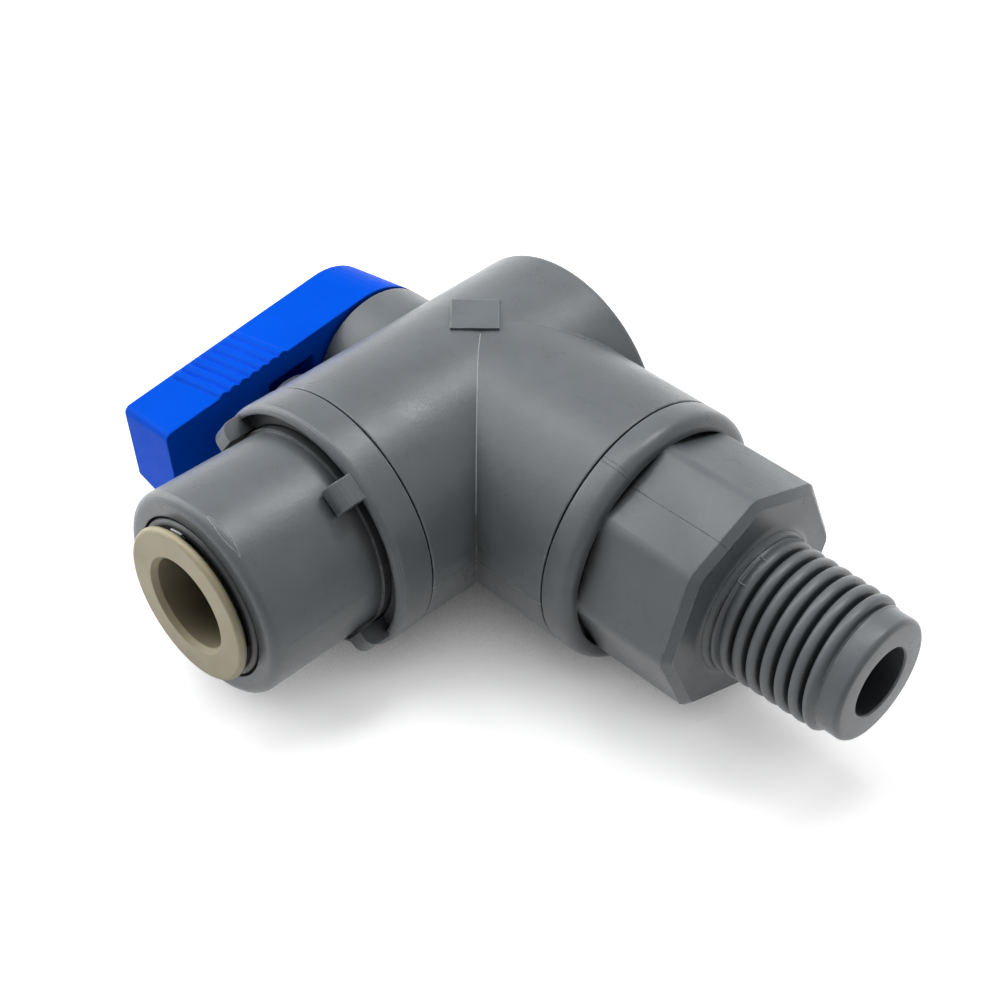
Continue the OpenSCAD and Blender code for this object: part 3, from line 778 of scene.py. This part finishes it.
@dataclass
class ThreadedSpigot:
    """The adapter with its flange and eight-sided nut, and the helical tapered thread on it."""

    # Where the CAD adapter is cut off, how far the helix stays clear of that cut, and how far from
    # the middle of this gap the loops on either side are looked for
    cut_at: float = -0.9
    neck_gap: float = 0.05
    neck_reach: float = 0.04
    pitch: float = 1.585
    crest_phase: float = 4.378
    crest_start_r: float = 7.14
    crest_end_r: float = 6.92
    depth: float = 1.0
    lead_in: float = 1.6
    run_in_from: float = 0.1
    run_in: float = 1.1
    run_out_from: float = 9.95
    run_out_to: float = 10.75
    edge_reach: float = 0.001
    nose_flat: float = 0.3
    nose_r: float = 6.35
    nose_round: float = 0.6
    nose_steps: int = 6
    nose_end: float = 13.0
    bore_r: float = 3.6
    bore_edge: float = 0.15
    # Radius between the neck's inner and outer loop
    between_r: float = 5.0
    steps: int = 96
    turns: int = 10
    smooth_angle: float = 32.0
    # Half of one crest, as shares of the pitch from its middle and of the depth from its top
    crest_shape: tuple[tuple[float, float], ...] = (
        (0.0, 0.0), (0.09, 0.008), (0.17, 0.03), (0.235, 0.075), (0.29, 0.15), (0.33, 0.25),
        (0.365, 0.40), (0.395, 0.58), (0.425, 0.78), (0.46, 0.94), (0.5, 1.0))

    @staticmethod
    def ease(share: float) -> float:
        """Rounds a share off at both ends and holds it within 0 and 1."""
        held = min(1.0, max(0.0, share))
        return held * held * (3 - 2 * held)

    def profile(self) -> list[Point]:
        """Gives one pitch of the thread, from root to root, at the start of the helix.

        Returns:
            The points of its profile.
        """
        start = self.crest_phase
        while start > self.cut_at - self.lead_in * self.pitch:
            start -= self.pitch
        half = [(share * self.pitch, -drop * self.depth) for share, drop in self.crest_shape]
        left = [(start - x, self.crest_start_r + r, 0.0) for x, r in reversed(half)]
        right = [(start + x, self.crest_start_r + r, 0.0) for x, r in half[1:]]
        return left + right

    def helix(self) -> Piece:
        """Turns one pitch into the helix and cuts it square at both ends.

        Returns:
            The helix with an even crest.
        """
        obj = Bench.chain("spigot_thread", self.profile())
        screw = obj.modifiers.new("helix", "SCREW")
        screw.axis = "X"
        screw.angle = math.tau
        screw.screw_offset = self.pitch * MM
        screw.steps = screw.render_steps = self.steps
        screw.iterations = self.turns
        screw.use_merge_vertices = True
        screw.merge_threshold = Bench.FINE_WELD
        bpy.ops.object.modifier_apply(modifier="helix")
        Bench.weld(Bench.WELD)
        Bench.cut((self.cut_at + self.neck_gap, 0, 0), ALONG_X, inner=True)
        Bench.cut((self.run_out_to, 0, 0), ALONG_X, outer=True)
        Bench.mode("OBJECT")
        return obj

    def taper(self, obj: Piece) -> None:
        """Tapers the crests, cuts the first root in gently and runs the last crest out.

        Args:
            obj: The helix.
        """
        length = self.run_out_from - self.cut_at
        narrowing = self.crest_end_r - self.crest_start_r
        run_out = self.run_out_to - self.run_out_from
        for vert in obj.data.vertices:
            x, y, z = vert.co / MM
            r = math.hypot(y, z)
            along = x - self.cut_at
            crest = self.crest_start_r + narrowing * along / length
            below = (self.crest_start_r - r) * self.ease((along - self.run_in_from) / self.run_in)
            new = crest - below
            new += (self.nose_r - new) * self.ease((x - self.run_out_from) / run_out)
            vert.co = Vector((x, y * new / r, z * new / r)) * MM
        obj.data.update()

    def nose(self, obj: Piece) -> None:
        """Extrudes the helix's front edge into the rounded nose and back through the bore.

        Args:
            obj: The helix.
        """
        Bench.take(obj)
        Bench.pick(obj, lambda p: abs(p.x - self.run_out_to) < self.edge_reach, Pick.EDGES)
        turns = (math.pi / 2 * i / self.nose_steps for i in range(self.nose_steps + 1))
        arc = [(self.nose_end - self.nose_round * (1 - math.sin(a)),
                self.nose_r - self.nose_round * (1 - math.cos(a))) for a in turns]
        rings = [(self.run_out_to + self.nose_flat, self.nose_r), *arc,
                 (self.nose_end, self.bore_r + self.bore_edge),
                 (self.nose_end - self.bore_edge, self.bore_r),
                 (self.cut_at + self.neck_gap, self.bore_r)]
        x, r = self.run_out_to, self.nose_r
        for next_x, next_r in rings:
            step = ((next_x - x) * MM, 0, 0)
            bpy.ops.mesh.extrude_region_move(TRANSFORM_OT_translate={"value": step})
            bpy.ops.transform.resize(value=(1, next_r / r, next_r / r), center_override=(0, 0, 0))
            x, r = next_x, next_r
        Bench.mode("OBJECT")

    def at_neck(self, place: Vector, inside: bool) -> bool:
        """Says whether a place lies on one of the two loops on either side of the neck's gap.

        Args:
            place: The place to judge.
            inside: Asks for the bore's loops instead of the outer ones.

        Returns:
            True for a place on the loops asked for.
        """
        off = abs(place.x - self.cut_at - self.neck_gap / 2)
        return off < self.neck_reach and (from_x_axis(place) < self.between_r) == inside

    def build(self) -> Piece:
        """Joins the cut CAD adapter and the helical thread into one closed piece.

        Returns:
            The piece.
        """
        thread = self.helix()
        self.taper(thread)
        self.nose(thread)
        adapter = Bench.node_copy("spigot_adapter", "threaded_spigot")
        Bench.cut((self.cut_at, 0, 0), ALONG_X, outer=True)
        Bench.take(adapter)
        thread.select_set(True)
        bpy.ops.object.join()
        for inside in (False, True):
            found = Bench.pick(adapter, lambda p: self.at_neck(p, inside), Pick.EDGES)
            LOG.info("bridging %d vertices at the neck", found)
            bpy.ops.mesh.bridge_edge_loops()
        Bench.smooth(adapter, self.smooth_angle)
        return adapter

    def dress(self, finishes: FinishSet) -> None:
        """Builds the piece, gives it the body's plastic and lets it stand for the CAD adapter.

        Args:
            finishes: The finishes to dress with.
        """
        piece = self.build()
        finishes.place(piece, Slot.BODY, Body.VALVE)
        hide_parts("spigot_adapter")


@dataclass
class LockingClip:
    """The dark C-shaped clip under the collet's flange, and the retaining ring behind it."""

    # The clip's section: a round rod on a flat foot that reaches in towards the bore
    round_r: float = 0.6
    round_at: tuple[float, float] = (7.77, -36.2)
    round_steps: int = 12
    foot_gap: float = 0.1
    back: float = -36.02
    bore_r: float = 6.75
    bore_top: float = -36.15
    start: float = -47.0
    span: float = 200.0
    steps: int = 72
    tab_angle: tuple[float, float] = (96.0, 109.0)
    tab_r: tuple[float, float] = (7.0, 7.75)
    tab_y: tuple[float, float] = (-36.06, -36.98)
    tab_cuts: int = 5
    tab_edge: float = 0.06
    tab_edge_segments: int = 2
    clip_smooth: float = 40.0
    # Where the CAD retainer's lip is cut off, and how near that the cut's edge is looked for
    retainer_top: float = -34.55
    edge_reach: float = 0.002
    ring_smooth: float = 32.0

    def ring(self) -> Piece:
        """Turns the clip's section round the port's axis and caps both ends.

        Returns:
            The clip.
        """
        mid_r, mid_y = self.round_at
        turns = (math.pi * i / self.round_steps for i in range(self.round_steps + 1))
        arc = [(mid_r - self.round_r * math.cos(a), mid_y - self.round_r * math.sin(a))
               for a in turns]
        section = [(self.bore_r, self.back), (self.bore_r, self.bore_top),
                   (arc[0][0] - self.foot_gap, self.bore_top), *arc, (arc[-1][0], self.back)]
        points = [about_port(r, y, self.start) for r, y in section]
        obj = Bench.chain("collet_locking_clip", [*points, points[0]])
        Bench.weld(Bench.WELD)
        bpy.ops.mesh.select_all(action="SELECT")
        bpy.ops.mesh.edge_face_add()
        bpy.ops.mesh.spin(steps=self.steps, angle=math.radians(self.span), center=CROSSING * MM,
                          axis=(0, 1, 0))
        Bench.mode("OBJECT")
        return obj

    def tab(self) -> Piece:
        """Makes the small tab on the clip's inner edge, whose pale finish paints its highlight.

        Returns:
            The tab.
        """
        bpy.ops.mesh.primitive_cube_add(size=MM, location=(0, 0, 0))
        obj = bpy.context.object
        obj.name = "collet_clip_tab"
        Bench.mode("EDIT")
        bpy.ops.mesh.subdivide(number_cuts=self.tab_cuts)
        Bench.mode("OBJECT")
        for vert in obj.data.vertices:
            shares = (c / MM + 0.5 for c in vert.co)
            r, y, angle = (low + share * (high - low) for share, (low, high)
                           in zip(shares, (self.tab_r, self.tab_y, self.tab_angle)))
            vert.co = Vector(about_port(r, y, angle)) * MM
        soften = obj.modifiers.new("edges", "BEVEL")
        soften.width, soften.segments = self.tab_edge * MM, self.tab_edge_segments
        soften.limit_method = "ANGLE"
        bpy.ops.object.modifier_apply(modifier="edges")
        return obj

    def retainer(self) -> Piece:
        """Copies the CAD retainer without the lip that the clip stands for.

        Returns:
            The bare ring.
        """
        obj = Bench.node_copy("collet_retainer", "retaining_ring")
        Bench.cut((0, self.retainer_top, 0), (0, -1, 0), outer=True)
        Bench.pick(obj, lambda p: abs(p.y - self.retainer_top) < self.edge_reach, Pick.EDGES)
        bpy.ops.mesh.fill(use_beauty=True)
        Bench.mode("OBJECT")
        return obj

    def dress(self, finishes: FinishSet) -> None:
        """Builds the clip, its tab and the bare retainer.

        Args:
            finishes: The finishes to dress with.
        """
        # The tab gets the pale finish, a painted highlight; the clip keeps the dark plastic
        for build, pale in ((self.ring, False), (self.tab, True)):
            piece = build()
            Bench.smooth(piece, self.clip_smooth)
            finishes.place(piece, Slot.DARK, Body.COLLET, pale)
        ring = self.retainer()
        Bench.smooth(ring, self.ring_smooth)
        finishes.place(ring, Slot.DARK, Body.VALVE)
        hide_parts("collet_retainer")


@dataclass
class PartingLines:
    """The fine flash that the mould's halves leave on the grey pieces, with marks beside it; pale
    beads among them paint the highlights that these catch.
    """

    bead_r: float = 0.035
    weld: float = 0.02
    # Level of the body's line, and the least distances from the axes at which it runs
    body_level: float = -1.6
    wall_r: float = 12.6
    boss_r: float = 5.0
    back_end: float = 12.0
    # Angles of the adapter's lines round +X, and where they run
    nut_angle: float = 116.6
    nut_x: tuple[float, float] = (-16.3, -1.6)
    nut_r: float = 9.5
    flange_angle: float = 114.7
    flange_back: float = -16.1
    flange_r: float = 12.9
    # Rings on the neck
    neck_rings: tuple[float, ...] = (-1.05, -1.5)
    neck_r: tuple[float, float] = (6.0, 10.0)
    ring_r: float = 0.05
    # The crease where the spigot's straight arm meets the port's drafted one, whose pale bead paints
    # the highlight along it
    crease_r: float = 0.06
    crease_top: float = 13.4
    crease_step: float = 0.3
    crease_steps: int = 32
    spigot_arm_r: float = 13.5
    port_arm_r: float = 13.56
    port_arm_draft: float = 0.75
    # Painted crescent highlight on the port's front round: place along Y and angle of its ends and
    # of each side's middle
    crescent_highlight_ends: tuple[tuple[float, float], ...] = ((-35.6, 81.0), (-35.74, 54.3))
    crescent_highlight_middles: tuple[tuple[str, tuple[float, float]], ...] = (
        ("crescent_highlight_arc", (-35.1, 69.4)), ("crescent_highlight_chord", (-36.2, 68.0)))
    crescent_highlight_steps: int = 16
    crescent_highlight_at_r: float = 11.5
    crescent_highlight_r: float = 0.044
    # Gate mark on the neck, whose pale beads paint the highlight on its edges: its place along X and
    # the angles of its two ends
    gate_x: float = -0.75
    gate_length: float = 0.95
    gate_angle: tuple[float, float] = (100.0, 125.0)
    gate_at_r: float = 7.7
    gate_steps: tuple[int, int] = (8, 12)
    gate_r: float = 0.055

    def crease(self) -> Piece:
        """Runs a pale bead down the crease where the two arms meet, which paints the highlight along
        it.

        Returns:
            The bead.
        """
        narrowing = math.tan(math.radians(self.port_arm_draft))
        points = []
        for i in range(self.crease_steps + 1):
            z = self.crease_top - i * self.crease_step
            y = -math.sqrt(self.spigot_arm_r ** 2 - z * z)
            x = CROSSING.x + math.sqrt((self.port_arm_r + narrowing * y) ** 2 - z * z)
            points.append((x, y, z))
        Bench.chain("crease_flash", Bench.drape(frame["nodes"]["valve_body"], points))
        return Bench.bead("crease_flash", self.crease_r)

    def crescent_highlight(self) -> list[Piece]:
        """Paints a crescent-shaped highlight on the port's front round with pale beads.

        Returns:
            Its two beads.
        """
        host = frame["nodes"]["tube_port_housing"]
        first, last = self.crescent_highlight_ends
        beads = []
        for name, middle in self.crescent_highlight_middles:
            points = []
            for i in range(self.crescent_highlight_steps + 1):
                t = i / self.crescent_highlight_steps
                weights = ((1 - t) * (1 - 2 * t), 4 * t * (1 - t), t * (2 * t - 1))
                y, angle = (sum(w * value for w, value in zip(weights, values))
                            for values in zip(first, middle, last))
                points.append(about_port(self.crescent_highlight_at_r, y, angle))
            Bench.chain(name, Bench.drape(host, points))
            beads.append(Bench.bead(name, self.crescent_highlight_r))
        return beads

    def gate_mark(self) -> list[Piece]:
        """Outlines the small raised gate mark on the spigot's neck with three pale beads, which
        paint the highlight on its edges.

        Returns:
            The beads.
        """
        host = bpy.data.objects["threaded_spigot"]
        top, foot = self.gate_angle
        along, around = ([i / steps for i in range(steps + 1)] for steps in self.gate_steps)
        places = [self.gate_x + self.gate_length * share for share in along]
        runs = {"gate_mark_back": [(self.gate_x, top + (foot - top) * share) for share in around],
                "gate_mark_top": [(x, top) for x in places],
                "gate_mark_foot": [(x, foot) for x in places]}
        beads = []
        for name, run in runs.items():
            points = [about_x(x, self.gate_at_r, angle) for x, angle in run]
            Bench.chain(name, Bench.drape(host, points))
            beads.append(Bench.bead(name, self.gate_r))
        return beads

    def on_body(self, p: Vector) -> bool:
        """Says whether a point of the body's section lies on its outer side.

        Args:
            p: The point.

        Returns:
            True on the outer side.
        """
        q = p - CROSSING
        if math.hypot(q.x, q.z) < self.wall_r or q.y > self.back_end:
            return False
        return from_x_axis(q) > (self.wall_r if q.x > 0 else self.boss_r)

    def on_nut(self, p: Vector) -> bool:
        """Says whether a point of the adapter's section lies on its nut's or flange's outside."""
        return from_x_axis(p) > self.nut_r and self.nut_x[0] < p.x < self.nut_x[1]

    def on_flange(self, p: Vector) -> bool:
        """Says whether a point of the adapter's section lies on the upper edge of its flange."""
        return from_x_axis(p) > self.flange_r and p.x > self.flange_back and p.z > 0

    def on_neck(self, p: Vector) -> bool:
        """Says whether a point of the adapter's section lies on the outside of its neck."""
        return self.neck_r[0] < from_x_axis(p) < self.neck_r[1]

    def trace(self, node: str, name: str, at: Point, normal: Point, keep: Rule,
              radius: float) -> Piece:
        """Runs a bead along the section of a CAD node with a plane.

        Args:
            node: Name of the CAD node.
            name: Name of the bead.
            at: A point of the plane.
            normal: The plane's normal.
            keep: Says which points of the section the bead follows.
            radius: Radius of the bead.

        Returns:
            The bead as a mesh object.
        """
        obj = Bench.node_copy(node, name)
        Bench.cut(at, normal, inner=True, outer=True)
        Bench.pick(obj, lambda p: not keep(p))
        bpy.ops.mesh.delete(type="VERT")
        Bench.weld(self.weld * MM)
        Bench.mode("OBJECT")
        return Bench.bead(name, radius)

    def dress(self, finishes: FinishSet) -> None:
        """Builds the beads and gives them the body's plastic or the pale finish, which paints a
        highlight on them.

        Args:
            finishes: The finishes to dress with.
        """
        body_line = self.trace("valve_body", "body_parting_line", (0, 0, self.body_level), ALONG_Z,
                               self.on_body, self.bead_r)
        lines = []
        for name, angle, keep in (("adapter_parting_line", self.nut_angle, self.on_nut),
                                  ("flange_parting_line", self.flange_angle, self.on_flange)):
            turn = math.radians(angle)
            lines.append(self.trace("spigot_adapter", name, (0, 0, 0),
                                    (0, -math.sin(turn), math.cos(turn)), keep, self.bead_r))
        for i, x in enumerate(self.neck_rings):
            lines.append(self.trace("spigot_adapter", f"neck_ring_{i}", (x, 0, 0), ALONG_X,
                                    self.on_neck, self.ring_r))
        # Body parting line, crease, crescent and gate mark get the pale finish, a painted highlight
        marks = [body_line, self.crease(), *self.crescent_highlight(), *self.gate_mark()]
        for line in lines:
            finishes.place(line, Slot.BODY, Body.VALVE)
        for mark in marks:
            finishes.place(mark, Slot.BODY, Body.VALVE, pale=True)


@dataclass(frozen=True)
class Softbox:
    """One softbox of the studio, hung in a direction from the valve and turned to it."""

    name: str
    toward: Point
    power: float
    width: float = 350.0
    height: float = 350.0
    reach: float = 500.0
    aim: Point = (-20.0, -5.0, 0.0)
    view_right: Point = (1.0, 1.0, 0.0)

    def hang(self) -> None:
        """Makes the lamp; its width runs along the view from left to right."""
        data = bpy.data.lights.new(self.name, "AREA")
        data.shape, data.energy = "RECTANGLE", self.power
        data.size, data.size_y = self.width * MM, self.height * MM
        obj = bpy.data.objects.new(self.name, data)
        bpy.context.scene.collection.objects.link(obj)
        back = Vector(self.toward).normalized()
        across = Vector(self.view_right)
        across = (across - back * across.dot(back)).normalized()
        obj.location = (Vector(self.aim) + back * self.reach) * MM
        obj.rotation_euler = Matrix((across, back.cross(across), back)).transposed().to_euler()


@dataclass
class Studio:
    """White floor, soft light from above and behind, and the camera of the photograph."""

    camera_at: Point = (68.519, -103.605, 121.356)
    # Turn of the camera in radians
    camera_turn: Point = (0.845175, -0.003008, 0.788192)
    lens: float = 66.5823
    sensor: float = 36.0
    nearest: float = 5.0
    farthest: float = 20000.0
    ambient: float = 0.05
    floor_size: float = 6000.0
    floor_roughness: float = 0.8
    floor_sheen: float = 0.1
    # The floor's own white, which fades where the valve stands close over it, and the grey painted
    # into the paper there: a painted contact shadow
    floor_lift: float = 0.68
    contact_mm: float = 20.0
    contact_samples: int = 4
    contact_shadow_fade: tuple[float, float] = (0.15, 0.39)
    contact_shadow_range: tuple[float, float] = (0.05, 0.32)
    contact_shadow_grey: tuple[float, float] = (0.25, 0.84)
    # Distances in metres over which the far floor takes over the lamps' share
    far_range: tuple[float, float] = (0.12, 0.6)
    lamps: tuple[Softbox, ...] = (
        Softbox("overhead_strip", (-0.22, 0.175, 0.96), 1.04, width=550.0, height=80.0),
        Softbox("high_back_box", (-0.35, 0.45, 0.82), 0.08),
        Softbox("port_glint_box", (-0.02, 0.46, 0.885), 0.42, width=100.0, height=100.0),
        Softbox("high_left_box", (-0.60, -0.30, 0.74), 0.72),
        Softbox("left_box", (-0.92, -0.30, 0.30), 1.02),
        Softbox("back_box", (-0.20, 0.90, 0.38), 0.08),
        Softbox("right_box", (0.90, 0.20, 0.38), 0.10),
    )

    def camera(self) -> None:
        """Sets the camera at the photograph's viewing angle."""
        data = bpy.data.cameras.new("photo_camera")
        data.lens, data.sensor_width = self.lens, self.sensor
        data.clip_start, data.clip_end = self.nearest * MM, self.farthest * MM
        obj = bpy.data.objects.new("photo_camera", data)
        bpy.context.scene.collection.objects.link(obj)
        obj.location = Vector(self.camera_at) * MM
        obj.rotation_euler = self.camera_turn
        bpy.context.scene.camera = obj

    def world(self) -> None:
        """Gives a little even light, and plain white where the world is seen or mirrored."""
        n = Nodes(bpy.data.worlds.new("studio_white"))
        bpy.context.scene.world = n.owner
        n.tree.nodes.clear()
        lit, white = (n.add("ShaderNodeBackground", {"Color": WHITE, "Strength": strength})
                      for strength in (self.ambient, 1.0))
        mix = n.add("ShaderNodeMixShader", {"Fac": n.seen()})
        n.feed(mix.inputs[1], lit.outputs[0])
        n.feed(mix.inputs[2], white.outputs[0])
        n.add("ShaderNodeOutputWorld", {"Surface": mix.outputs[0]})

    def paper(self) -> Material:
        """Makes the floor's paper: white in the open, with a painted contact shadow close under the
        valve.

        Returns:
            The material.
        """
        n = Nodes(bpy.data.materials.new("white_floor"))
        near = n.openness(self.contact_mm, self.contact_samples)
        # Painted contact shadow: the white glow fades where the valve stands close over the floor
        own = n.spread(near, 0.0, self.floor_lift, *self.contact_shadow_fade, curve="SMOOTHSTEP")
        # Far from the lamps the paper gives its white by itself
        away = n.add("ShaderNodeVectorMath", operation="LENGTH")
        n.feed(away.inputs[0], n.where)
        far = n.spread(away.outputs["Value"], 0.0, 1.0 - self.floor_lift, *self.far_range)
        n.surface({
            "Roughness": self.floor_roughness,
            "Specular IOR Level": self.floor_sheen,
            # Painted contact shadow: the paper greys where the valve stands close over it
            "Base Color": n.spread(near, *self.contact_shadow_grey, *self.contact_shadow_range),
            "Emission Color": WHITE,
            "Emission Strength": n.calc("MULTIPLY", n.seen(), n.calc("ADD", own, far))})
        return n.owner

    def floor(self, level: float) -> None:
        """Lays the white floor, which keeps the valve's shadow from the lamps and a painted contact
        shadow under it.

        Args:
            level: Height of the floor in metres.
        """
        Bench.clear()
        bpy.ops.mesh.primitive_plane_add(size=self.floor_size * MM, location=(0, 0, level))
        floor = bpy.context.object
        floor.name = "studio_floor"
        bpy.ops.object.transform_apply(location=True, rotation=True, scale=True)
        floor.data.materials.append(self.paper())
        floor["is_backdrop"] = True

    def build(self, level: float) -> None:
        """Sets up the camera, the lights and the floor.

        Args:
            level: Height of the floor in metres.
        """
        bpy.context.scene.view_settings.view_transform = "Standard"
        self.camera()
        self.world()
        for lamp in self.lamps:
            lamp.hang()
        self.floor(level)
        LOG.info("studio: %d softboxes, floor at %.2f mm", len(self.lamps), level / MM)


def main() -> None:
    """Builds every piece in order and reports each one."""
    logging.basicConfig(level=logging.INFO, format="%(message)s")
    cad_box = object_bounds()
    finishes = FinishSet()
    CadPieces().dress(finishes)
    ThreadedSpigot().dress(finishes)
    LockingClip().dress(finishes)
    PartingLines().dress(finishes)
    Studio().build(cad_box[0].z)


if __name__ == "__main__":
    main()
